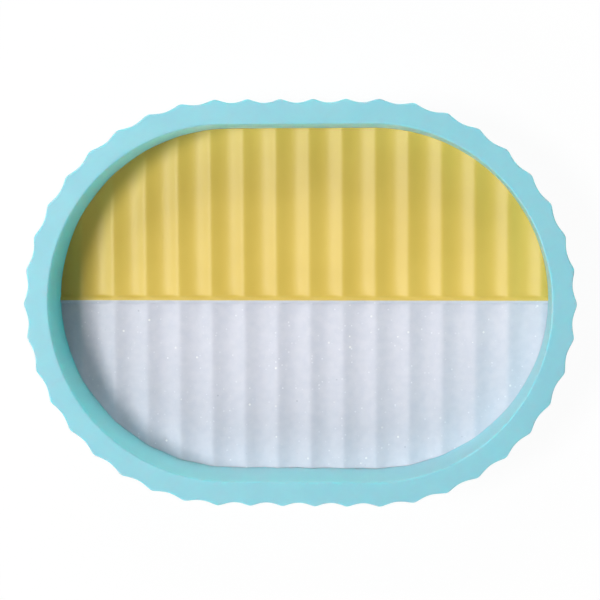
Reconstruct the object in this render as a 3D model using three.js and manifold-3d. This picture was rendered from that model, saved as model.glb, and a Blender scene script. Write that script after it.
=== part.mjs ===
// Soap dish: a fluted oval tray that carries two ribbed plates and stands on four soft feet.
// Millimetres, +Z up. X runs along the dish and Y across it. The origin is under the middle of the
// dish, on the surface that it stands on.

import * as THREE from 'three';
import { mergeVertices, toCreasedNormals } from 'three/addons/utils/BufferGeometryUtils.js';
import Module from 'manifold-3d';

const wasm = await Module();
wasm.setup();

// Overall size, over the tips of the outside flutes
const LENGTH = 135;
const WIDTH = 99.5;
const HEIGHT = 24;

// Outside flutes
const FLUTES = 46;
const FLUTE_DEPTH = 0.86;
const TIP_SOFTNESS = 0.22; // 0 makes knife-edged tips, more rounds them
const POINTS_PER_FLUTE = 6;

// Tray walls
const RIM_WIDTH = 6; // from the flute tips to the inside edge
const OUTSIDE_DRAFT = 4; // degrees, narrower at the base
const INSIDE_DRAFT = 2.7; // degrees, narrower at the floor
const OUTSIDE_ROUND = 0.3; // rounding of the rim's outside edge
const INSIDE_ROUND = 0.4; // rounding of the rim's inside edge
const ROUND_STEPS = 3;
const BASE_CHAMFER = 0.8;
const BASE_RING = 4.5; // width of the flat ring round the recessed underside
const LEDGE_WIDTH = 2.5;
const RIB_WIDTH = 7;

// Heights above the table
const BASE_Z = 1; // underside of the tray, which the feet hold up
const PANEL_Z = 1.5; // recessed middle of the underside
const POCKET_Z = 2.25; // roof of the foot pockets
const SUMP_Z = 4; // floor below the plates, sunk so that they seat on their edges
const LEDGE_Z = 5; // ledge and rib that carry the plates

// Ribbed plates, which keep the soap above the water
const PLATE_HEIGHT = 4; // from the ledge to the tops of the ridges
const PLATE_GAP = 0.25; // all round, so that a plate lifts out
const RIDGE_PITCH = 8.25;
const RIDGE_SHIFT = 1.95; // the ridge nearest the middle stands this far along X
const TROUGH_DEPTH = 0.7;
const RIDGE_SOFTNESS = 0.3;
const POINTS_PER_TROUGH = 8;
const OUTLINE_POINTS = 138;
const FENCE_Y = -0.3; // front face of the fence that closes the yellow plate's troughs
const FENCE_WIDTH = 0.85;
const LIP_WIDTH = 0.5; // of the white plate's own narrow fence, in front of the yellow one
const FENCE_RISE = 0.2; // above the ridges

// Feet
const FOOT_DIAMETER = 9.4;
const POCKET_DIAMETER = 10;
const FOOT_CHAMFER = 0.5;
const FOOT_X = 38;
const FOOT_Y = 26;
const FOOT_SIDES = 28;

// Worked out from the sizes above
const SPINE = (LENGTH - WIDTH) / 2; // half the straight stretch between the round ends
const TIP_RADIUS = WIDTH / 2;
const INSIDE_RADIUS = TIP_RADIUS - RIM_WIDTH;
const RIM_MIDDLE = TIP_RADIUS - RIM_WIDTH / 2;
const OVERCUT = 1; // how far a cutting or joining solid runs past the face that it crosses

const lean = (degrees) => Math.tan(THREE.MathUtils.degToRad(degrees));
const outsideAt = (z) => TIP_RADIUS - Math.max(0, HEIGHT - OUTSIDE_ROUND - z) * lean(OUTSIDE_DRAFT);
const insideAt = (z) => INSIDE_RADIUS - (HEIGHT - z) * lean(INSIDE_DRAFT);

// Scalloped wave: 0 at each whole number, where two flutes meet in a tip, and 1 halfway between.
function scallop(u, softness) {
  const bottom = Math.hypot(1, softness) - softness;
  return (Math.hypot(Math.sin(Math.PI * u), softness) - softness) / bottom;
}

// A place on the walk round the dish, anticlockwise from the +X end and even along the middle of
// the rim. share runs from 0 to 1. Gives the nearest point of the spine and the way that faces out.
function station(share) {
  const bend = Math.PI * RIM_MIDDLE;
  const straight = 2 * SPINE;
  const lap = 2 * (bend + straight);
  let walked = (share * lap + bend / 2) % lap;
  for (const side of [1, -1]) {
    if (walked < bend) {
      const angle = walked / RIM_MIDDLE - Math.PI / 2;
      const out = new THREE.Vector2(Math.cos(angle), Math.sin(angle)).multiplyScalar(side);
      return { spine: new THREE.Vector2(side * SPINE, 0), out };
    }
    walked -= bend;
    if (walked < straight) {
      const spine = new THREE.Vector2(side * (SPINE - walked), 0);
      return { spine, out: new THREE.Vector2(0, side) };
    }
    walked -= straight;
  }
  return station(0);
}

// Oval outline at one height: points at the given radius from the spine, drawn in by the flutes.
function ovalRing(z, radius, fluteDepth = 0, count = FLUTES * POINTS_PER_FLUTE) {
  return Array.from({ length: count }, (_, i) => {
    const { spine, out } = station(i / count);
    const reach = radius - fluteDepth * scallop((i * FLUTES) / count, TIP_SOFTNESS);
    return new THREE.Vector3(spine.x + out.x * reach, spine.y + out.y * reach, z);
  });
}

// Closed skin through a list of outlines of equal count, capped flat at the first and the last.
function loft(rings) {
  const count = rings[0].length;
  const index = [];
  for (let k = 0; k + 1 < rings.length; k++) {
    for (let i = 0; i < count; i++) {
      const next = (i + 1) % count;
      const [a, b] = [k * count + i, k * count + next];
      index.push(a, b, b + count, a, b + count, a + count);
    }
  }
  const cap = (ring) => THREE.ShapeUtils.triangulateShape(ring.map((p) => new THREE.Vector2(p.x, p.y)), []);
  const last = (rings.length - 1) * count;
  for (const [a, b, c] of cap(rings[0])) index.push(a, c, b);
  for (const [a, b, c] of cap(rings.at(-1))) index.push(last + a, last + b, last + c);
  return new THREE.BufferGeometry().setFromPoints(rings.flat()).setIndex(index);
}

// Quarter turn of a rounded edge, as pairs of 0 to 1 that swap between two directions.
function quarterTurn() {
  return Array.from({ length: ROUND_STEPS + 1 }, (_, i) => {
    const angle = (i / ROUND_STEPS) * (Math.PI / 2);
    return [Math.sin(angle), Math.cos(angle)];
  });
}

// Geometry to solid and back, for joining and cutting
function solid(geometry) {
  const bare = geometry.clone();
  bare.deleteAttribute('normal');
  bare.deleteAttribute('uv');
  const merged = mergeVertices(bare);
  const mesh = new wasm.Mesh({
    numProp: 3,
    vertProperties: merged.attributes.position.array,
    triVerts: new Uint32Array(merged.index.array),
  });
  return new wasm.Manifold(mesh);
}

function geometryOf(made) {
  const mesh = made.getMesh();
  const geometry = new THREE.BufferGeometry();
  geometry.setAttribute('position', new THREE.BufferAttribute(mesh.vertProperties, 3));
  geometry.setIndex(new THREE.BufferAttribute(mesh.triVerts, 1));
  return toCreasedNormals(geometry, Math.PI / 6);
}

// Block between two corners
function block(low, high) {
  const size = new THREE.Vector3().subVectors(high, low);
  const middle = new THREE.Vector3().addVectors(low, high).divideScalar(2);
  return new THREE.BoxGeometry(size.x, size.y, size.z).translate(middle.x, middle.y, middle.z);
}

const footPlaces = {
  front_left: [-FOOT_X, -FOOT_Y],
  front_right: [FOOT_X, -FOOT_Y],
  back_left: [-FOOT_X, FOOT_Y],
  back_right: [FOOT_X, FOOT_Y],
};

// Tray: one moulding, lofted from the recessed underside, up the fluted outside, over the rim and
// down the plain inside to the ledge and the sump. A rib crosses the sump under the plates' joint.
function trayGeometry() {
  const panelRadius = outsideAt(BASE_Z) - FLUTE_DEPTH - BASE_CHAMFER - BASE_RING;
  const ledgeRadius = insideAt(LEDGE_Z) - LEDGE_WIDTH;
  const rings = [
    ovalRing(PANEL_Z, panelRadius),
    ovalRing(BASE_Z, panelRadius),
    ovalRing(BASE_Z, outsideAt(BASE_Z) - BASE_CHAMFER, FLUTE_DEPTH),
    ovalRing(BASE_Z + BASE_CHAMFER, outsideAt(BASE_Z + BASE_CHAMFER), FLUTE_DEPTH),
    ...quarterTurn().map(([up, out]) => {
      const z = HEIGHT - OUTSIDE_ROUND * (1 - up);
      return ovalRing(z, outsideAt(z) - OUTSIDE_ROUND * (1 - out), FLUTE_DEPTH);
    }),
    ...quarterTurn().map(([inward, up]) => {
      const z = HEIGHT - INSIDE_ROUND * (1 - up);
      return ovalRing(z, insideAt(z) + INSIDE_ROUND * (1 - inward));
    }),
    ovalRing(LEDGE_Z, insideAt(LEDGE_Z)),
    ovalRing(LEDGE_Z, ledgeRadius),
    ovalRing(SUMP_Z, ledgeRadius),
  ];
  const ribReach = SPINE + ledgeRadius + OVERCUT;
  const rib = block(
    new THREE.Vector3(-ribReach, FENCE_Y - RIB_WIDTH / 2, SUMP_Z - OVERCUT),
    new THREE.Vector3(ribReach, FENCE_Y + RIB_WIDTH / 2, LEDGE_Z),
  );
  let tray = solid(loft(rings)).add(solid(rib));
  const pocketDepth = POCKET_Z - BASE_Z;
  const pocket = new THREE.CylinderGeometry(
    POCKET_DIAMETER / 2, POCKET_DIAMETER / 2, pocketDepth, FOOT_SIDES,
  ).rotateX(Math.PI / 2);
  for (const [x, y] of Object.values(footPlaces)) {
    tray = tray.subtract(solid(pocket.clone().translate(x, y, BASE_Z + pocketDepth / 2)));
  }
  return geometryOf(tray);
}

// Slab with troughs running across the dish, between two places along Y
function troughSlab(frontY, backY) {
  const reach = SPINE + INSIDE_RADIUS;
  const step = RIDGE_PITCH / POINTS_PER_TROUGH;
  const first = Math.floor((-reach - RIDGE_SHIFT) / step);
  const last = Math.ceil((reach - RIDGE_SHIFT) / step);
  const section = new THREE.Shape();
  section.moveTo(RIDGE_SHIFT + first * step, -OVERCUT);
  for (let i = first; i <= last; i++) {
    const depth = TROUGH_DEPTH * scallop(i / POINTS_PER_TROUGH, RIDGE_SOFTNESS);
    section.lineTo(RIDGE_SHIFT + i * step, PLATE_HEIGHT - depth);
  }
  section.lineTo(RIDGE_SHIFT + last * step, -OVERCUT);
  const slab = new THREE.ExtrudeGeometry(section, { depth: backY - frontY, bevelEnabled: false });
  return slab.rotateX(Math.PI / 2).translate(0, backY, 0);
}

// Oval blank that fits inside the tray's wall and follows its draft
function plateBlank() {
  const ring = (z) => ovalRing(z, insideAt(LEDGE_Z + z) - PLATE_GAP, 0, OUTLINE_POINTS);
  return loft([ring(0), ring(PLATE_HEIGHT + FENCE_RISE + OVERCUT)]);
}

// Low bar between two places along Y that closes the ends of a plate's troughs
function fenceBar(frontY, backY) {
  const reach = SPINE + INSIDE_RADIUS;
  return block(
    new THREE.Vector3(-reach, frontY, -OVERCUT),
    new THREE.Vector3(reach, backY, PLATE_HEIGHT + FENCE_RISE),
  );
}

// Yellow plate: the back half, whose troughs end at the fence along the joint
function yellowPlateGeometry() {
  const fence = fenceBar(FENCE_Y, FENCE_Y + FENCE_WIDTH);
  const ribbed = solid(troughSlab(FENCE_Y, WIDTH / 2)).add(solid(fence));
  return geometryOf(solid(plateBlank()).intersect(ribbed));
}

// White plate: the front half, whose troughs end at a narrower lip beside the fence
function whitePlateGeometry() {
  const backY = FENCE_Y - PLATE_GAP;
  const lip = fenceBar(backY - LIP_WIDTH, backY);
  const ribbed = solid(troughSlab(-WIDTH / 2, backY)).add(solid(lip));
  return geometryOf(solid(plateBlank()).intersect(ribbed));
}

// Foot: a turned pad, chamfered where it meets the table, whose top fills the pocket's depth
function footGeometry() {
  const radius = FOOT_DIAMETER / 2;
  const profile = [
    new THREE.Vector2(0, 0),
    new THREE.Vector2(radius - FOOT_CHAMFER, 0),
    new THREE.Vector2(radius, FOOT_CHAMFER),
    new THREE.Vector2(radius, POCKET_Z),
    new THREE.Vector2(0, POCKET_Z),
  ];
  return new THREE.LatheGeometry(profile, FOOT_SIDES).rotateX(Math.PI / 2);
}

// Finishes
const finishes = {
  aqua: new THREE.MeshStandardMaterial({ color: 0x93d6df, roughness: 0.5, metalness: 0 }),
  yellow: new THREE.MeshStandardMaterial({ color: 0xe2c670, roughness: 0.4, metalness: 0 }),
  glitterWhite: new THREE.MeshStandardMaterial({ color: 0xd8dce8, roughness: 0.35, metalness: 0 }),
  softPad: new THREE.MeshStandardMaterial({ color: 0xdfe6e6, roughness: 0.6, metalness: 0 }),
};

function piece(name, geometry, material) {
  const mesh = new THREE.Mesh(geometry, material);
  mesh.name = name;
  return mesh;
}

// Assembly
const soapDish = new THREE.Group();
soapDish.add(piece('fluted_tray', trayGeometry(), finishes.aqua));

const plates = new THREE.Group();
plates.position.z = LEDGE_Z;
plates.add(piece('yellow_ribbed_plate', yellowPlateGeometry(), finishes.yellow));
plates.add(piece('white_ribbed_plate', whitePlateGeometry(), finishes.glitterWhite));
soapDish.add(plates);

const feet = new THREE.Group();
for (const [place, [x, y]] of Object.entries(footPlaces)) {
  const foot = piece(`foot_${place}`, footGeometry(), finishes.softPad);
  foot.position.set(x, y, 0);
  feet.add(foot);
}
soapDish.add(feet);

export default soapDish;
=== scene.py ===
# %% [markdown]
# A fluted soap dish: an aqua oval tray, a yellow and a white ribbed plate, and four soft feet.
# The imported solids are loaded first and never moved. Each one is then replaced by a finer surface,
# because rounded edges and smooth flutes are what the light shows. The overall size stays the same.

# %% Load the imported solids
import math

import bmesh
import bpy
import numpy as np
from mathutils import Matrix, Vector
from mathutils.geometry import delaunay_2d_cdt


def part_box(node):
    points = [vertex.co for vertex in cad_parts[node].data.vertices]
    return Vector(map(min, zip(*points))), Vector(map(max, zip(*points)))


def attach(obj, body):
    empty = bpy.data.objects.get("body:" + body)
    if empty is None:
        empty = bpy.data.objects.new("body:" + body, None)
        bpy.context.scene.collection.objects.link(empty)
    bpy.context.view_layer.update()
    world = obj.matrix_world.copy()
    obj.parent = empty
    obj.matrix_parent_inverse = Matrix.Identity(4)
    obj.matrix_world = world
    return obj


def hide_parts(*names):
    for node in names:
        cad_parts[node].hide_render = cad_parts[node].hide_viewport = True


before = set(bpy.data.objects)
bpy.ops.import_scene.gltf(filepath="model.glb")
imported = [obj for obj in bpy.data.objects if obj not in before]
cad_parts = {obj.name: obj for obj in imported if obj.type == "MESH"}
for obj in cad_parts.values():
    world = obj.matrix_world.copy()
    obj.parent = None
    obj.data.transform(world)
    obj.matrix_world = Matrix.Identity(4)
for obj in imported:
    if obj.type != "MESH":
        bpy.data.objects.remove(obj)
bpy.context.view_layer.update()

print("solids:", sorted(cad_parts))

# %% [markdown]
# Sizes. Whatever the solids already say is read from their boxes, so that the surfaces follow them.
# The rest are the few numbers that a box does not show, in millimetres: how deep the flutes are, how
# wide the rim is, how large its roundings are.

# %% Sizes
MM = 0.001


def box_mm(node):
    """A solid's lowest and highest corner in millimetres, with the last float digits rounded off."""
    low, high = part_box(node)
    return np.round(np.array(low) / MM, 3), np.round(np.array(high) / MM, 3)


tray_low, tray_high = box_mm("fluted_tray")
yellow_low, yellow_high = box_mm("yellow_ribbed_plate")

TIP_RADIUS = tray_high[1]
SPINE = tray_high[0] - TIP_RADIUS
RIM_Z = tray_high[2]
BASE_Z = tray_low[2]
LEDGE_Z = yellow_low[2]
FENCE_Z = yellow_high[2]
FENCE_Y = yellow_low[1]
FENCE_RISE = 0.2
RIDGE_Z = FENCE_Z - FENCE_RISE

FLUTES = 46
FLUTE_DEPTH = 0.86
TIP_SOFTNESS = 0.22
RIM_WIDTH = 6.0
OUTSIDE_ROUND = 0.3
INSIDE_ROUND = 0.4
INSIDE_RADIUS = TIP_RADIUS - RIM_WIDTH
RIM_MIDDLE = TIP_RADIUS - RIM_WIDTH / 2
print(f"tray {2 * (SPINE + TIP_RADIUS):.1f} x {2 * TIP_RADIUS:.1f} x {RIM_Z:.1f} mm over the tips")

# %% [markdown]
# How the walls lean. A moulded wall leans a little, so that it comes out of its mould. The outside
# leans evenly. The inside stands almost upright at the two round ends and leans more along the sides.
# The photograph shows that, and the solids' even lean lies between the two.

# %% Lean of the walls
OUTSIDE_LEAN = math.tan(math.radians(4.0))
END_LEAN = math.tan(math.radians(0.9))
SIDE_LEAN = math.tan(math.radians(3.8))


def outside_at(z):
    """Radius of the flute tips at a height: upright at the rim's rounding, leaning in below it."""
    return TIP_RADIUS - np.maximum(0, RIM_Z - OUTSIDE_ROUND - z) * OUTSIDE_LEAN


def inside_lean(angle):
    """How far the inside wall draws in per unit of depth. The ends, which face along X, stand almost
    upright, and the sides lean more. Between them the lean follows the squared sine of the angle."""
    return END_LEAN + (SIDE_LEAN - END_LEAN) * np.sin(angle) ** 2


def inside_at(z, angle):
    """Radius of the plain inside wall at a height, on the side that faces an angle from +X."""
    return INSIDE_RADIUS - (RIM_Z - z) * inside_lean(angle)


end_radius, side_radius = inside_at(LEDGE_Z, np.radians([0, 90]))
print(f"inside wall at its foot: radius {end_radius:.2f} mm at the ends, {side_radius:.2f} mm at the sides")

# %% [markdown]
# Faces. Every curved surface here is a grid of points worked out as one array. Neighbouring points are
# joined into four-sided faces by arithmetic on their index numbers, which is fast and keeps every face
# pointing the same way. A flat sheet with holes fits a grid badly, so it is filled with triangles.

# %% Faces of grids and sheets
INSIDE_ONLY = 1
SAME_POINT = 1e-7


def ring_faces(rows, columns):
    """Quads between neighbouring rows of a grid whose columns run round and close."""
    here = np.arange(rows * columns).reshape(rows, columns)
    beside = np.roll(here, -1, axis=1)
    return np.stack([here[:-1], beside[:-1], beside[1:], here[1:]], axis=-1).reshape(-1, 4)


def flat_sheet(outline, holes, z, facing_up):
    """Triangles that fill a flat outline apart from its holes. A triangle whose three corners all lie on
    one hole is that hole's own filling, so it is dropped."""
    loops = [outline] + holes
    owner = np.repeat(np.arange(len(loops)), [len(loop) for loop in loops])
    points = np.concatenate(loops)
    starts = np.cumsum([0] + [len(loop) for loop in loops])
    edges = [np.stack([np.arange(a, b), np.r_[a + 1:b, a]], 1) for a, b in zip(starts, starts[1:])]
    flat = [Vector(p) for p in points[:, :2]]
    made = delaunay_2d_cdt(flat, np.concatenate(edges).tolist(), [], INSIDE_ONLY, SAME_POINT)
    triangles = np.array(made[2])
    owners = owner[triangles]
    in_hole = (owners[:, 0] > 0) & (owners == owners[:, :1]).all(axis=1)
    triangles = triangles[~in_hole]
    if not facing_up:
        triangles = triangles[:, ::-1]
    return np.column_stack([points[:, :2], np.full(len(points), z)]), triangles


print("faces between 3 rows of 4 points:", len(ring_faces(3, 4)))

# %% [markdown]
# Meshes. A piece is made of patches, each an array of points with its faces. Where patches meet they
# have the same points, so merging those closes the piece. Counting the edges that do not join exactly
# two faces tells whether it is closed, and a positive volume tells that its faces point outwards.

# %% Meshes from patches
MERGE = 1e-7
SHARP = math.radians(35)


def make_piece(name, patches):
    """One closed mesh from patches of (points in mm, faces). Points that coincide are merged."""
    points = np.concatenate([p for p, _ in patches])
    offsets = np.cumsum([0] + [len(p) for p, _ in patches])
    faces = [f + offset for (_, f), offset in zip(patches, offsets)]
    corners = np.concatenate([f.ravel() for f in faces])
    sizes = np.concatenate([np.full(len(f), f.shape[1]) for f in faces])
    mesh = bpy.data.meshes.new(name)
    mesh.vertices.add(len(points))
    mesh.loops.add(len(corners))
    mesh.polygons.add(len(sizes))
    mesh.vertices.foreach_set("co", (points * MM).astype(np.float32).ravel())
    mesh.loops.foreach_set("vertex_index", corners.astype(np.int32))
    mesh.polygons.foreach_set("loop_start", (np.cumsum(sizes) - sizes).astype(np.int32))
    mesh.update(calc_edges=True)
    skin = bmesh.new()
    skin.from_mesh(mesh)
    bmesh.ops.remove_doubles(skin, verts=skin.verts, dist=MERGE)
    bmesh.ops.dissolve_degenerate(skin, edges=skin.edges, dist=MERGE)
    open_edges = sum(not edge.is_manifold for edge in skin.edges)
    volume = skin.calc_volume(signed=True) / MM**3
    skin.to_mesh(mesh)
    skin.free()
    mesh.shade_smooth()
    mesh.set_sharp_from_angle(angle=SHARP)
    piece = bpy.data.objects.new(name, mesh)
    bpy.context.scene.collection.objects.link(piece)
    triangles = sum(len(p.vertices) - 2 for p in mesh.polygons)
    print(f"{name}: {triangles} triangles, {open_edges} open edges, {volume / 1000:.2f} cm3")
    return piece


print("edges sharper than", round(math.degrees(SHARP)), "degrees stay crisp")

# %% [markdown]
# The oval and its flutes. The oval is a spine, a straight line along X, with everything at one
# distance from it. Walking round the middle of the rim at an even pace sets the flutes evenly, and at
# each step the outline is the spine plus a reach in the direction that faces out. The flutes shorten
# that reach. Their wave is the size of a sine with its corner softened, which draws concave scoops
# that meet in slightly rounded tips.

# %% Oval walk and flutes
STATIONS_PER_FLUTE = 20
WALK_COUNT = FLUTES * STATIONS_PER_FLUTE


def scallop(u, softness):
    """Wave of scoops: 0 at whole u, where two scoops meet in a tip, and 1 halfway. It is the length of
    (sin(pi u), softness), less softness, scaled to reach 1."""
    return (np.hypot(np.sin(np.pi * u), softness) - softness) / (math.hypot(1, softness) - softness)


def oval_walk(count):
    """Stations round the oval from its +X end: place on the spine, angle that faces out, flutes passed.
    The walk has four legs, bend, straight, bend, straight, and each value is linear along a leg."""
    bend = math.pi * RIM_MIDDLE
    straight = 2 * SPINE
    legs = np.cumsum([0, bend, straight, bend, straight])
    share = np.arange(count) / count
    walked = (share * legs[-1] + bend / 2) % legs[-1]
    along = np.interp(walked, legs, [SPINE, SPINE, -SPINE, -SPINE, SPINE])
    angle = np.interp(walked, legs, np.radians([-90, 90, 90, 270, 270]))
    return along, angle, share * FLUTES


def carried_round(profile, count):
    """Grid of a profile carried round the oval. Each row of the profile is radius, height, flute share
    and depth below the rim: the reach is the radius, less that share of the flutes' depth at the
    station, less what the inside wall there draws in over that depth."""
    radius, height, share, depth = np.array(profile).T[:, :, None]
    along, angle, flutes = oval_walk(count)
    reach = radius - share * FLUTE_DEPTH * scallop(flutes, TIP_SOFTNESS) - depth * inside_lean(angle)
    x = along + reach * np.cos(angle)
    y = reach * np.sin(angle)
    grid = np.stack(np.broadcast_arrays(x, y, height), -1)
    return grid.reshape(-1, 3), ring_faces(len(profile), count)


print("stations round the oval:", WALK_COUNT)

# %% [markdown]
# The tray's wall. On the real dish it is one moulding with a satin skin. A lathe cannot make it,
# because it is neither round nor smooth, and a bevelled extrusion would lose the lean of the walls.
# So a profile is carried round the oval: from the recessed underside, up the leaning outside, over
# the rim with its two roundings, and down the inside to the ledge. Rows lie close together beside each
# rounding, so that the flat rim stays flat where it is shaded. The flutes fade out across the rim.

# %% Tray wall profile
PANEL_Z = 1.5
BASE_RING = 4.5
BASE_ROUND = 0.8
SMALL_ROUND = 0.2
CLOSE_BY = 0.06
FADED_SHARE = 0.4
ARC_STEPS = 8
WALL_ROWS = 6


def quarter(start_degrees, end_degrees, centre, radius, share):
    """Rows of a rounded edge: a quarter circle in the plane of radius and height."""
    turn = np.radians(np.linspace(start_degrees, end_degrees, ARC_STEPS + 1))
    x = centre[0] + radius * np.cos(turn)
    z = centre[1] + radius * np.sin(turn)
    return np.column_stack([x, z, np.full(len(turn), share)])


def wall_profile():
    """Radius, height, flute share and depth along the wall, from the underside panel to the ledge. The
    depth is 0 on the outside. On the inside it counts from the rim, and is even over the rounding."""
    base_edge = outside_at(BASE_Z + BASE_ROUND)
    panel_radius = base_edge - FLUTE_DEPTH - BASE_ROUND - BASE_RING
    flat_top = TIP_RADIUS - OUTSIDE_ROUND
    rim_edge = flat_top - CLOSE_BY
    inner_top = INSIDE_RADIUS + INSIDE_ROUND
    outside_z = np.linspace(BASE_Z + BASE_ROUND + CLOSE_BY, RIM_Z - OUTSIDE_ROUND - CLOSE_BY, WALL_ROWS)
    inside_z = np.linspace(RIM_Z - INSIDE_ROUND - CLOSE_BY, LEDGE_Z, WALL_ROWS)
    outside = [
        [[panel_radius, PANEL_Z, 0], [panel_radius, PANEL_Z - CLOSE_BY, 0]],
        quarter(180, 270, (panel_radius + SMALL_ROUND, BASE_Z + SMALL_ROUND), SMALL_ROUND, 0),
        [[panel_radius + SMALL_ROUND + CLOSE_BY, BASE_Z, 0]],
        [[base_edge - BASE_ROUND - CLOSE_BY, BASE_Z, 1]],
        quarter(-90, 0, (base_edge - BASE_ROUND, BASE_Z + BASE_ROUND), BASE_ROUND, 1),
        np.column_stack([outside_at(outside_z), outside_z, np.ones(WALL_ROWS)]),
        quarter(0, 90, (flat_top, RIM_Z - OUTSIDE_ROUND), OUTSIDE_ROUND, 1),
        [[rim_edge, RIM_Z, 1], [rim_edge - FLUTE_DEPTH, RIM_Z, FADED_SHARE]],
        [[inner_top + CLOSE_BY, RIM_Z, 0]],
    ]
    inside = np.concatenate([
        quarter(90, 180, (inner_top, RIM_Z - INSIDE_ROUND), INSIDE_ROUND, 0),
        np.column_stack([np.full(WALL_ROWS, INSIDE_RADIUS), inside_z, np.zeros(WALL_ROWS)]),
    ])
    rows = np.concatenate(outside + [inside])
    depth = np.zeros(len(rows))
    depth[-len(inside):] = np.maximum(RIM_Z - inside[:, 1], INSIDE_ROUND)
    return np.column_stack([rows, depth])


profile = wall_profile()
print("profile rows:", len(profile), "underside panel radius:", round(profile[0, 0], 2), "mm")

# %% [markdown]
# Outlines of the holes in the tray. Under it, a recessed panel has four round pockets for the feet.
# Inside, a ledge and a rib carry the plates round two shallow sunk beds. A pocket is a circle. A bed
# is half an oval whose corners are rounded, because a cutter or a mould leaves no sharp corner there.

# %% Outlines of pockets and beds
POCKET_RADIUS = 5.0
POCKET_COUNT = 64
LEDGE_WIDTH = 2.5
RIB_WIDTH = 7.0
BED_CORNER = 1.5
BED_COUNT = 120
FOOT_NAMES = sorted(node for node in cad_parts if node.startswith("foot_"))


def circle(centre, radius, count):
    """Points round a circle, anticlockwise from +X."""
    turn = np.arange(count) / count * 2 * math.pi
    return np.column_stack([centre[0] + radius * np.cos(turn), centre[1] + radius * np.sin(turn)])


def half_oval(radius, edge_y, side, count):
    """Outline of the part of an oval beyond the line y = edge_y on one side, with rounded corners.
    The oval is drawn in by the corner size, cut, and every point pushed out again along its normal."""
    inner = radius - BED_CORNER
    cut = side * edge_y + BED_CORNER
    sweep = math.asin(cut / inner)
    turn = np.linspace(sweep, math.pi - sweep, count)
    out = np.column_stack([np.cos(turn), np.sin(turn)])
    arc = radius * out + np.outer(np.sign(out[:, 0]), [SPINE, 0])
    share = np.linspace(0, 1, ARC_STEPS + 2)[1:]
    left = np.interp(share, [0, 1], [math.pi - sweep, 1.5 * math.pi])
    right = np.interp(share[:-1], [0, 1], [1.5 * math.pi, 2 * math.pi + sweep])
    end = np.array([SPINE + inner * math.cos(sweep), cut])
    left_round = end * [-1, 1] + BED_CORNER * np.column_stack([np.cos(left), np.sin(left)])
    right_round = end + BED_CORNER * np.column_stack([np.cos(right), np.sin(right)])
    straight = [[end[0], cut - BED_CORNER]]
    outline = np.concatenate([arc, left_round, straight, right_round]) * [1, side]
    return outline if side > 0 else outline[::-1]


def foot_centre(node):
    """Middle of a foot's box, seen from above."""
    low, high = box_mm(node)
    return (low[:2] + high[:2]) / 2


pockets = [circle(foot_centre(node), POCKET_RADIUS, POCKET_COUNT) for node in FOOT_NAMES]
bed_radius = side_radius - LEDGE_WIDTH
beds = [half_oval(bed_radius, FENCE_Y + side * RIB_WIDTH / 2, side, BED_COUNT) for side in (1, -1)]
print("pockets:", len(pockets), "beds:", len(beds), "points round a bed:", len(beds[0]))

# %% [markdown]
# The tray. The wall's grid is closed by two flat sheets, the underside panel and the ledge, which begin
# at its first and last row of points. Each hole in a sheet gets a wall and a bottom of its own, worked
# out from the same outline, so nothing has to be cut and the edges stay clean.

# %% Tray
POCKET_Z = 2.25
SUMP_Z = 4.0


def sunk(outline, top_z, bottom_z):
    """Wall and bottom of a flat-bottomed hole. The wall has two rows, and the bottom is one sheet."""
    count = len(outline)
    wall = np.concatenate([np.column_stack([outline, np.full(count, z)]) for z in (top_z, bottom_z)])
    bottom = flat_sheet(outline, [], bottom_z, facing_up=top_z > bottom_z)
    faces = ring_faces(2, count)
    return [(wall, faces if top_z > bottom_z else faces[:, ::-1]), bottom]


wall_points, wall_faces = carried_round(profile, WALK_COUNT)
panel_outline = wall_points[:WALK_COUNT, :2]
ledge_outline = wall_points[-WALK_COUNT:, :2]
patches = [(wall_points, wall_faces)]
patches.append(flat_sheet(panel_outline, pockets, PANEL_Z, facing_up=False))
patches.append(flat_sheet(ledge_outline, beds, LEDGE_Z, facing_up=True))
for pocket in pockets:
    patches.extend(sunk(pocket, PANEL_Z, POCKET_Z))
for bed in beds:
    patches.extend(sunk(bed, LEDGE_Z, SUMP_Z))
tray = make_piece("tray_shell", patches)

# %% [markdown]
# The ribbed tops. Both plates are scooped into the same troughs, which run across the dish and so
# depend on X alone. They are the flutes' wave again, wider and with softer tips. The edges of the tops
# are eased by a small rounding, worked out from the distance to the edge.

# %% Troughs and eased edges
RIDGE_PITCH = 8.25
RIDGE_SHIFT = 1.95
TROUGH_DEPTH = 0.7
RIDGE_SOFTNESS = 0.3
EDGE_EASE = 0.02


def trough_height(x):
    """Height of the ribbed top: the ridges' level less the scoops between them."""
    return RIDGE_Z - TROUGH_DEPTH * scallop((x - RIDGE_SHIFT) / RIDGE_PITCH, RIDGE_SOFTNESS)


def eased(distance):
    """How far a rounded edge has dropped at a distance from it: a quarter circle of radius EDGE_EASE."""
    left = np.clip(EDGE_EASE - distance, 0, EDGE_EASE)
    return EDGE_EASE - np.sqrt(EDGE_EASE**2 - left**2)


print(f"troughs {TROUGH_DEPTH} mm deep and {RIDGE_PITCH} mm apart")

# %% [markdown]
# Where a plate's points lie. Along X they follow the oval's edge at an even pace, so they crowd together
# at the round ends, where the edge turns. Across the plate they lie close together at both edges and on
# the slope of the fence, a low strip along the joint that closes the ends of the troughs.

# %% Stations on a plate
STATION_STEP = 0.14
EASE_POINTS = 6
SLOPE_POINTS = 9
MIDDLE_POINTS = 8


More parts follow.
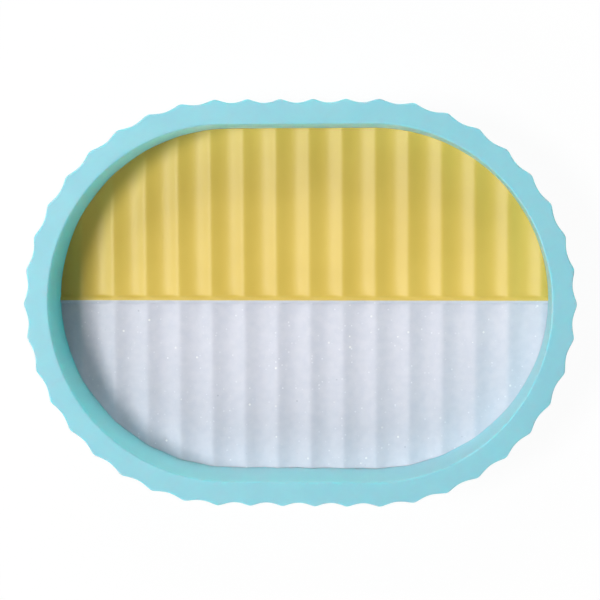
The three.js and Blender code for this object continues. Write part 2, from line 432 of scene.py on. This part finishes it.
def edge_stations(radius, edge_y):
    """Stations of the half oval y >= edge_y at an even pace along its edge, from +X to -X: place on the
    spine and the angle that faces out."""
    sweep = math.asin(max(0, edge_y) / radius)
    bend = radius * (math.pi / 2 - sweep)
    legs = np.cumsum([0, bend, 2 * SPINE, bend])
    walked = np.linspace(0, legs[-1], int(legs[-1] / STATION_STEP))
    angle = np.interp(walked, legs, [sweep, math.pi / 2, math.pi / 2, math.pi - sweep])
    along = np.interp(walked, legs, [SPINE, SPINE, -SPINE, -SPINE])
    return along, angle


def across_plate(span, fence):
    """Distances from the joint at each station: close together at both eased edges and on the fence's
    slope, even between, and drawn together where the plate is narrow."""
    ease = EDGE_EASE * (1 - np.cos(np.linspace(0, math.pi / 2, EASE_POINTS)))
    edge = np.append(ease, EDGE_EASE + CLOSE_BY)
    width, slope_length = fence
    slope = width + slope_length * np.linspace(-0.5, 0.5, SLOPE_POINTS)
    joint_side = np.concatenate([edge, slope])
    room = np.minimum(1, span / (2 * joint_side[-1]))[:, None]
    near = room * joint_side
    far = span[:, None] - room * edge[::-1]
    share = np.linspace(0, 1, MIDDLE_POINTS + 2)[1:-1]
    between = near[:, -1:] + share * (far[:, :1] - near[:, -1:])
    return np.concatenate([near, between, far], axis=1)


print("points across a plate:", 2 * (EASE_POINTS + 1) + SLOPE_POINTS + MIDDLE_POINTS)

# %% [markdown]
# The plates. Each is a slab cut from the oval. It could be cut from a block with a boolean, but the thin
# ends would come out ragged. Here it is one closed section in Y and Z carried along X, which reaches
# from the joint between the plates to the oval wall. The wall leans, so the slab ends a little sooner
# where its top is low in a trough. The fence is narrow on the white plate and wider on the yellow one.

# %% Ribbed plates
SEAT_GAP = 0.004
YELLOW_FENCE = (0.85, 0.9)
WHITE_FENCE = (0.6, 0.8)


def plate_patches(side, edge_y, fence):
    """Closed grid of one plate. side is +1 behind the joint and -1 in front of it. Each row is the
    section at one station: across the top from joint to wall, down the leaning wall, back along the
    underside and up the joint's face. fence gives the raised strip along the joint: its width to the
    middle of its slope and the slope's length. The slope follows the smooth step 3 t^2 - 2 t^3. The
    first and last rows are closed by flat ends."""
    along, angle = edge_stations(inside_at(RIDGE_Z, 0) - SEAT_GAP, edge_y)
    ridge_x = along + (inside_at(RIDGE_Z, angle) - SEAT_GAP) * np.cos(angle)
    top_radius = inside_at(trough_height(ridge_x), angle) - SEAT_GAP
    drawn_in = top_radius + SEAT_GAP - inside_at(LEDGE_Z, angle)
    wall_y = top_radius * np.sin(angle)
    across = across_plate(wall_y - edge_y, fence)
    y = edge_y + across
    x = np.broadcast_to((along + top_radius * np.cos(angle))[:, None], y.shape)
    beyond = np.maximum(np.abs(x) - SPINE, 0)
    height = trough_height(x)
    wall_radius = inside_at(height, np.arctan2(y, beyond)) - SEAT_GAP
    to_wall = np.maximum(wall_radius - np.hypot(beyond, y), 0)
    width, slope_length = fence
    rise = np.clip((width - across) / slope_length + 0.5, 0, 1)
    height = height + (FENCE_Z - height) * rise * rise * (3 - 2 * rise)
    top = np.stack([x, y, height - eased(np.minimum(to_wall, across))], -1)
    low_x = x[:, :1] - (drawn_in * np.cos(angle))[:, None]
    low_y = np.maximum(wall_y - drawn_in * np.sin(angle), edge_y)[:, None]
    low_z = np.full_like(low_x, LEDGE_Z)
    wall_foot = np.stack([low_x, low_y, low_z], -1)
    joint_foot = np.stack([low_x, np.full_like(low_x, edge_y), low_z], -1)
    grid = np.concatenate([top, wall_foot, joint_foot], axis=1) * [1, side, 1]
    rows, count = grid.shape[:2]
    around = np.arange(count)[None]
    patches = [(grid.reshape(-1, 3), ring_faces(rows, count))]
    patches += [(grid[0], around[:, ::-1]), (grid[-1], around)]
    if side < 0:
        patches = [(points, faces[:, ::-1]) for points, faces in patches]
    return patches


yellow_plate = make_piece("yellow_plate", plate_patches(1, FENCE_Y, YELLOW_FENCE))
white_plate = make_piece("white_plate", plate_patches(-1, -FENCE_Y + SEAT_GAP, WHITE_FENCE))

# %% [markdown]
# The feet are soft round pads that fill their pockets. A cylinder with a bevel would do, but the turned
# profile needs no modifier: a flat sole, an eased edge and a straight side up to the pocket's roof,
# carried round the pad's own axis.

# %% Feet
FOOT_EASE = 0.5


def foot_patch(node):
    """Closed grid of a turned pad: radius and height of the profile, carried round a circle."""
    low, high = box_mm(node)
    centre = foot_centre(node)
    radius = (high[0] - low[0]) / 2
    ease = quarter(-90, 0, (radius - FOOT_EASE, low[2] + FOOT_EASE), FOOT_EASE, 0)[:, :2]
    sole = [[0, low[2]], [radius - FOOT_EASE - CLOSE_BY, low[2]]]
    side = [[radius, high[2] - CLOSE_BY], [radius - CLOSE_BY, high[2]], [0, high[2]]]
    outline = np.concatenate([sole, ease, side])
    turn = np.arange(POCKET_COUNT) / POCKET_COUNT * 2 * math.pi
    x = centre[0] + outline[:, :1] * np.cos(turn)
    y = centre[1] + outline[:, :1] * np.sin(turn)
    z = np.repeat(outline[:, 1:], POCKET_COUNT, axis=1)
    return np.stack([x, y, z], -1).reshape(-1, 3), ring_faces(len(outline), POCKET_COUNT)


feet = {node: make_piece(node.replace("foot", "pad"), [foot_patch(node)]) for node in FOOT_NAMES}

# %% [markdown]
# Finishes. A finish is a material: a tree of nodes that ends in one Principled shader. Building the
# tree in code is clearer with a helper that adds a node, sets its sockets by name or number, and links
# whatever is given as another node's output.

# %% Node helpers
def new_finish(name, sockets):
    """A material with one Principled shader, whose plain values are set on its own sockets."""
    finish = bpy.data.materials.new(name)
    finish.use_nodes = True
    shader = finish.node_tree.nodes["Principled BSDF"]
    for socket, value in sockets.items():
        shader.inputs[socket].default_value = value
    return finish, shader


def link(owner, output, target):
    """Join an output to an input in a material's or the world's own tree."""
    owner.node_tree.links.new(output, target)


def add_node(owner, kind, sockets, **settings):
    """A node with its settings, its plain socket values and its links."""
    node = owner.node_tree.nodes.new("ShaderNode" + kind)
    for setting, value in settings.items():
        setattr(node, setting, value)
    for socket, value in sockets.items():
        if isinstance(value, bpy.types.NodeSocket):
            link(owner, value, node.inputs[socket])
        else:
            node.inputs[socket].default_value = value
    return node


def remap(owner, value, low, high, to_low, to_high):
    """Value carried in a straight line from one range to another, and held at its ends."""
    sockets = {"Value": value, "From Min": low, "From Max": high, "To Min": to_low, "To Max": to_high}
    return add_node(owner, "MapRange", sockets).outputs["Result"]


def combine(owner, operation, first, second):
    """Two values put together by a named sum."""
    return add_node(owner, "Math", {0: first, 1: second}, operation=operation).outputs["Value"]


print("node helpers ready")

# %% [markdown]
# What the finishes share. Each reads Object coordinates, which are metres on the piece itself, so a noise
# of scale 1000 has features of about a millimetre wherever the piece goes. A moulded plastic is never
# quite even: its pigment drifts, and its skin has a fine grain. Most of a noise's values lie near 0.5,
# so the middle of its range is stretched.

# %% Pigment and grain
DRIFT_SPAN = (0.35, 0.65)
GRAIN_SPAN = (0.3, 0.7)


def place(finish):
    """Metres on the piece itself."""
    return add_node(finish, "TexCoord", {}).outputs["Object"]


def noise(finish, at, scale, detail=2.0):
    """Soft random values about 0.5, with features of about 1 / scale metres."""
    return add_node(finish, "TexNoise", {"Vector": at, "Scale": scale, "Detail": detail}).outputs["Fac"]


def blend(finish, factor, first, second):
    """Colour between two colours."""
    return add_node(finish, "Mix", {0: factor, 6: first, 7: second}, data_type="RGBA").outputs[2]


def drifting(finish, drift, tints):
    """Colour that wanders between two tints as a noise does."""
    return blend(finish, remap(finish, drift, *DRIFT_SPAN, 0, 1), *tints)


def roughen(finish, shader, grain, smooth, rough):
    """Roughness that a grain varies between two values."""
    link(finish, remap(finish, grain, *GRAIN_SPAN, smooth, rough), shader.inputs["Roughness"])


def raise_grain(finish, shader, grain, strength, height):
    """Relief in the skin: a bump whose height is in metres."""
    bump = add_node(finish, "Bump", {"Height": grain, "Strength": strength, "Distance": height})
    link(finish, bump.outputs["Normal"], shader.inputs["Normal"])


def linear(red, green, blue):
    """Screen colour, 0 to 255, as the linear values that a shader takes, by the sRGB curve."""
    share = np.array([red, green, blue]) / 255
    value = np.where(share <= 0.04045, share / 12.92, ((share + 0.055) / 1.055) ** 2.4)
    return (*value.tolist(), 1.0)


print("middle grey on the screen is", round(linear(128, 128, 128)[0], 3), "to a shader")

# %% [markdown]
# Aqua plastic: a satin moulded skin. Its colour drifts very little over a centimetre, as pigment in a
# moulding does, and a fine grain breaks up the highlights. The plastic lets some light through, green
# and blue more than red, so the inside wall that stands between the lamp and the plates glows teal.
# The rim shows none of that on the real dish, because the lamp shines straight on it. Here the glow is
# painted in by the lamp's direction: light travels far only under skin that the lamp grazes or that
# faces away from it. The normal tells which: its dot product with the way the lamp's light travels is
# near 0 where grazed and above 0 in shade.

# %% Aqua tray finish
KEY_TRAVEL = (7.7, -0.2, -15.0)
SHADED_SPREAD = 0.02
LIT_SPREAD = 0.0008
GRAZED = -0.25
AQUA_TINTS = linear(153, 214, 226), linear(155, 217, 228)
AQUA_DRIFT = 90
AQUA_GRAIN = 2600


def aqua_finish():
    """Drifting pigment, fine grain, and a glow painted in by the lamp's direction: light travels far under
    the skin only on the shaded side.
    """
    finish, shader = new_finish("aqua_satin_plastic", {
        "IOR": 1.5,
        "Specular IOR Level": 0.4,
        "Subsurface Weight": 1.0,
        "Subsurface Radius": (0.16, 1.0, 0.9),
    })
    at = place(finish)
    normal = add_node(finish, "TexCoord", {}).outputs["Normal"]
    travel = Vector(KEY_TRAVEL).normalized()
    # Painted glow: the subsurface reach is long where the skin faces away from the lamp and short where it
    # is lit.
    away = add_node(finish, "VectorMath", {0: normal, 1: travel}, operation="DOT_PRODUCT")
    painted_glow_spread = remap(finish, away.outputs["Value"], GRAZED, 0, LIT_SPREAD, SHADED_SPREAD)
    link(finish, painted_glow_spread, shader.inputs["Subsurface Scale"])
    pigment = drifting(finish, noise(finish, at, AQUA_DRIFT), AQUA_TINTS)
    link(finish, pigment, shader.inputs["Base Color"])
    grain = noise(finish, at, AQUA_GRAIN, detail=3)
    roughen(finish, shader, grain, smooth=0.39, rough=0.47)
    raise_grain(finish, shader, grain, strength=0.12, height=0.00004)
    return finish


aqua = aqua_finish()
print("finish:", aqua.name)

# %% [markdown]
# Yellow plastic: opaque and as satin as the tray, so that each trough carries a broad pale highlight on
# the side that faces the lamp. The pigment is a deep warm yellow, because the highlight adds the
# paleness that the lit plate shows.

# %% Yellow plate finish
YELLOW_TINTS = linear(221, 191, 87), linear(227, 197, 93)
YELLOW_DRIFT = 60
YELLOW_GRAIN = 1800


def yellow_finish():
    """Deep yellow pigment under a satin skin."""
    finish, shader = new_finish("yellow_satin_plastic", {"IOR": 1.5, "Specular IOR Level": 0.4})
    at = place(finish)
    pigment = drifting(finish, noise(finish, at, YELLOW_DRIFT), YELLOW_TINTS)
    link(finish, pigment, shader.inputs["Base Color"])
    grain = noise(finish, at, YELLOW_GRAIN, detail=3)
    roughen(finish, shader, grain, smooth=0.4, rough=0.47)
    raise_grain(finish, shader, grain, strength=0.1, height=0.00004)
    return finish


yellow = yellow_finish()
print("finish:", yellow.name)

# %% [markdown]
# White glitter plastic: a frosted body that light sinks a little way into, with fine flakes moulded in.
# Modelling each flake would take thousands of meshes, so cells of a Voronoi pattern stand for them:
# every cell has a random number, and only the cells above a limit show a flake. Three sizes of cell
# give many faint flakes, a few grey specks and some bright sparks. The flakes are real, but how
# brightly each one shows is partly a painted glint, and the sparks are near-white painted glints.

# %% White glitter finish
WHITE_TINTS = linear(215, 217, 227), linear(221, 222, 231)
WHITE_DRIFT = 500
FROST_GRAIN = 1500
FAINT_FLAKES = {"scale": 1200, "limit": 0.8, "radius": 0.3}
GREY_SPECKS = {"scale": 700, "limit": 0.965, "radius": 0.17}
BRIGHT_SPARK_GLINTS = {"scale": 750, "limit": 0.92, "radius": 0.24}
FLAKE_TINT = linear(242, 243, 250)
SPECK_TINT = linear(188, 192, 203)
SPARK_GLINT_TINT = linear(255, 255, 255)
FLAKE_CORE = 0.7
BODY_ROUGHNESS = 0.5
SPARK_ROUGHNESS = 0.25


def flakes(finish, at, scale, limit, radius):
    """Above 0 inside a round flake and 0 elsewhere. A cell of size 1 / scale holds a flake if its random
    number is above the limit, and the flake's radius is a share of the cell's size. A second random
    number is a painted glint: it says how well the flake catches the light, squared so that most of them
    stay faint."""
    cells = add_node(finish, "TexVoronoi", {"Vector": at, "Scale": scale})
    random = add_node(finish, "SeparateColor", {"Color": cells.outputs["Color"]}).outputs
    chosen = combine(finish, "GREATER_THAN", random["Red"], limit)
    glint = combine(finish, "MULTIPLY", chosen, combine(finish, "POWER", random["Green"], 2))
    inside = remap(finish, cells.outputs["Distance"], radius * FLAKE_CORE, radius, 1, 0)
    return combine(finish, "MULTIPLY", glint, inside)


def glitter_finish():
    """Frosted white body with pale flakes, bright sparks painted in as glints, and a few grey specks."""
    finish, shader = new_finish("white_glitter_plastic", {
        "IOR": 1.5,
        "Specular IOR Level": 0.08,
        "Subsurface Weight": 0.5,
        "Subsurface Radius": (1.0, 1.0, 1.0),
        "Subsurface Scale": 0.0008,
    })
    at = place(finish)
    body = drifting(finish, noise(finish, at, WHITE_DRIFT, detail=4), WHITE_TINTS)
    body = blend(finish, flakes(finish, at, **FAINT_FLAKES), body, FLAKE_TINT)
    body = blend(finish, flakes(finish, at, **GREY_SPECKS), body, SPECK_TINT)
    # Painted glint: the sparks are flakes coloured near-white where a flake would flash in the lamp, with a
    # lower roughness.
    spark = flakes(finish, at, **BRIGHT_SPARK_GLINTS)
    body = blend(finish, spark, body, SPARK_GLINT_TINT)
    link(finish, body, shader.inputs["Base Color"])
    link(finish, remap(finish, spark, 0, 1, BODY_ROUGHNESS, SPARK_ROUGHNESS), shader.inputs["Roughness"])
    frost = noise(finish, at, FROST_GRAIN, detail=3)
    raise_grain(finish, shader, frost, strength=0.15, height=0.00005)
    return finish


glitter = glitter_finish()
print("finish:", glitter.name)

# %% [markdown]
# The feet: pale, soft and dull. They are hardly seen, but a fine mottle keeps them from looking like
# painted discs when the dish is turned over.

# %% Soft foot finish
PAD_TINTS = linear(210, 219, 219), linear(228, 235, 235)
PAD_MOTTLE = 1400


def foot_finish():
    """Pale rubber with a fine mottle."""
    finish, shader = new_finish("soft_pad", {"IOR": 1.42})
    mottle = noise(finish, place(finish), PAD_MOTTLE, detail=4)
    link(finish, blend(finish, mottle, *PAD_TINTS), shader.inputs["Base Color"])
    roughen(finish, shader, mottle, smooth=0.55, rough=0.7)
    return finish


pad_finish = foot_finish()
print("finish:", pad_finish.name)

# %% [markdown]
# Dressing. Each piece gets its finish and rides on the body that carries its solid, so that it follows
# when a plate is lifted out. It then stands in for that solid, which is hidden. Each row also names a
# slot, the material of the part's record that the finish belongs to, but nothing uses it.

# %% Dress the bodies
dressing = [
    (tray, aqua, "tray", "aqua_tray", ["fluted_tray"]),
    (yellow_plate, yellow, "yellow_plate", "yellow_plate", ["yellow_ribbed_plate"]),
    (white_plate, glitter, "white_plate", "glitter_plate", ["white_ribbed_plate"]),
]
dressing += [(pad, pad_finish, "tray", "soft_foot", [node]) for node, pad in feet.items()]
for piece, finish, body, slot, nodes in dressing:
    piece.data.materials.append(finish)
    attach(piece, body)
    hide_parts(*nodes)
print("dressed:", [piece.name for piece, *_ in dressing])

# %% [markdown]
# Camera. It stands above the dish, a little towards its back right, so that the left and front
# inside walls show. It is far enough away for the oval to keep its shape. The scale is in pixels per
# millimetre at the rim, lengths are in millimetres, and the leans and the roll in degrees.

# %% Camera
IMAGE_SIDE = 600
RIM_SCALE = 4.1095
CAMERA_DISTANCE = 500.0
LEAN_RIGHT = 4.35
LEAN_BACK = 4.9
ROLL = -0.3
RIM_CENTRE_PIXEL = (297.56, 304.44)
SENSOR_WIDTH = 36.0


def place_camera():
    """Camera on a line that leans from the upright through the middle of the rim. Its aim is moved so
    that the middle of the rim lands on its pixel."""
    middle = Vector((0, 0, RIM_Z))
    lean = (math.tan(math.radians(LEAN_RIGHT)), math.tan(math.radians(LEAN_BACK)), 1)
    back = Vector(lean).normalized()
    right = Vector((0, 1, 0)).cross(back).normalized()
    up = back.cross(right)
    turn = Matrix((right, up, back)).transposed() @ Matrix.Rotation(math.radians(ROLL), 3, "Z")
    off_centre = (IMAGE_SIDE / 2 - RIM_CENTRE_PIXEL[0], RIM_CENTRE_PIXEL[1] - IMAGE_SIDE / 2, 0)
    aim = middle + turn @ Vector(off_centre) / RIM_SCALE
    lens = bpy.data.cameras.new("camera")
    lens.sensor_width = SENSOR_WIDTH
    lens.lens = RIM_SCALE * CAMERA_DISTANCE / IMAGE_SIDE * SENSOR_WIDTH
    lens.clip_start = 0.01
    camera = bpy.data.objects.new("camera", lens)
    camera.matrix_world = Matrix.Translation((aim + back * CAMERA_DISTANCE) * MM) @ turn.to_4x4()
    bpy.context.scene.collection.objects.link(camera)
    bpy.context.scene.camera = camera
    return camera


camera = place_camera()
print("lens:", round(camera.data.lens, 1), "mm")

# %% [markdown]
# Light. One soft lamp from the left, high up, draws the shadow of the left wall and lights the far side
# of every trough. A wide panel stands low at the back: it lights the front inside wall, and the back
# wall keeps it off the yellow plate, which is why that plate grows darker towards the back. A weaker
# panel at the front keeps the back inside wall from going dark. Both stand a little to the left, so
# that they leave the shadow of the left wall alone. Lengths here are in metres and powers in watts.

# %% Lamps
KEY_DISTANCE = 1.6
KEY_WIDTH = 0.48
KEY_WATTS = 15.4
PANEL_DISTANCE = 1.2
PANEL_WIDE = 0.9
PANEL_TALL = 0.6
PANEL_ASIDE = 0.2
BACK_WATTS = 6.3
BACK_SLOPE = math.tan(math.radians(31))
FRONT_WATTS = 4.5
FRONT_SLOPE = math.tan(math.radians(36))


def add_lamp(name, travel, distance, **settings):
    """An area lamp whose light travels one way, at a distance from the origin."""
    light = bpy.data.lights.new(name, "AREA")
    for setting, value in settings.items():
        setattr(light, setting, value)
    lamp = bpy.data.objects.new(name, light)
    way = Vector(travel).normalized()
    lamp.location = way * -distance
    lamp.rotation_euler = way.to_track_quat("-Z", "Y").to_euler()
    bpy.context.scene.collection.objects.link(lamp)


add_lamp("key", KEY_TRAVEL, KEY_DISTANCE, energy=KEY_WATTS, shape="DISK", size=KEY_WIDTH)
panels = {
    "back_panel": ((PANEL_ASIDE, -1, -BACK_SLOPE), BACK_WATTS),
    "front_panel": ((PANEL_ASIDE, 1, -FRONT_SLOPE), FRONT_WATTS),
}
for name, (travel, watts) in panels.items():
    add_lamp(name, travel, PANEL_DISTANCE, energy=watts, shape="RECTANGLE",
             size=PANEL_WIDE, size_y=PANEL_TALL)

# %% [markdown]
# World. A grey world fills the shadows a little. To the camera, and in reflections of the horizon, it is
# plain white. A node that knows which kind of ray is asking makes the difference, so the background
# is white without more light falling on the dish.

# %% World
FILL_STRENGTH = 0.11
SKY_FADE = (0.45, 0.75)


def ray_kinds(owner):
    """Two switches: 1 for rays from the camera, and 1 for rays in a mirror or through glass."""
    path = add_node(owner, "LightPath", {}).outputs
    mirror = combine(owner, "MAXIMUM", path["Is Glossy Ray"], path["Is Transmission Ray"])
    return path["Is Camera Ray"], mirror


def make_surround():
    """A world of one grey, white to the camera everywhere. To mirrors it is white low in the sky and fades
    to the grey between the two heights of SKY_FADE, where 1 is straight up."""
    world = bpy.data.worlds.new("surround")
    world.use_nodes = True
    bpy.context.scene.world = world
    background = world.node_tree.nodes["Background"]
    background.inputs["Color"].default_value = (1, 1, 1, 1)
    way = add_node(world, "TexCoord", {}).outputs["Generated"]
    upward = add_node(world, "SeparateXYZ", {"Vector": way}).outputs["Z"]
    camera_ray, mirror = ray_kinds(world)
    low_sky = remap(world, upward, *SKY_FADE, 1, 0)
    white = combine(world, "MAXIMUM", camera_ray, combine(world, "MULTIPLY", mirror, low_sky))
    link(world, remap(world, white, 0, 1, FILL_STRENGTH, 1), background.inputs["Strength"])


make_surround()
print("world:", bpy.context.scene.world.name)

# %% [markdown]
# Floor. The dish stands on plain white. A lit white floor would go grey away from the lamp, so most of
# what the camera sees of it is an even glow, and a small lit share keeps the dish's shadow. The glow's
# strength is set so that the two together come to white. Lengths are in metres.

# %% Floor
FLOOR_REACH = 1.5
FLOOR_GLOW = 0.94
FLOOR_GREY = 0.85
FLOOR_Z = -0.00002


def make_floor():
    """A wide flat sheet, a hair under the feet, that looks white and still takes a faint shadow."""
    mesh = bpy.data.meshes.new("floor")
    corners = [(x * FLOOR_REACH, y * FLOOR_REACH, FLOOR_Z) for x, y in ((-1, -1), (1, -1), (1, 1), (-1, 1))]
    mesh.from_pydata(corners, [], [(0, 1, 2, 3)])
    floor = bpy.data.objects.new("floor", mesh)
    bpy.context.scene.collection.objects.link(floor)
    finish, shader = new_finish("white_floor", {"Base Color": (*[FLOOR_GREY] * 3, 1), "Roughness": 0.9})
    camera_ray, mirror = ray_kinds(finish)
    share = remap(finish, combine(finish, "MAXIMUM", camera_ray, mirror), 0, 1, 0, FLOOR_GLOW)
    lift = (1 - FLOOR_GREY * (1 - FLOOR_GLOW)) / FLOOR_GLOW
    glow = add_node(finish, "Emission", {"Strength": lift})
    mix = add_node(finish, "MixShader", {0: share, 1: shader.outputs["BSDF"], 2: glow.outputs["Emission"]})
    link(finish, mix.outputs["Shader"], finish.node_tree.nodes["Material Output"].inputs["Surface"])
    mesh.materials.append(finish)
    return floor


floor = make_floor()
print("floor:", 2 * FLOOR_REACH, "m wide,", floor.data.materials[0].name)

# %% [markdown]
# Last, the view transform is set to Standard, which shows a colour about as it is written.

# %% Plain colours
bpy.context.scene.view_settings.view_transform = "Standard"
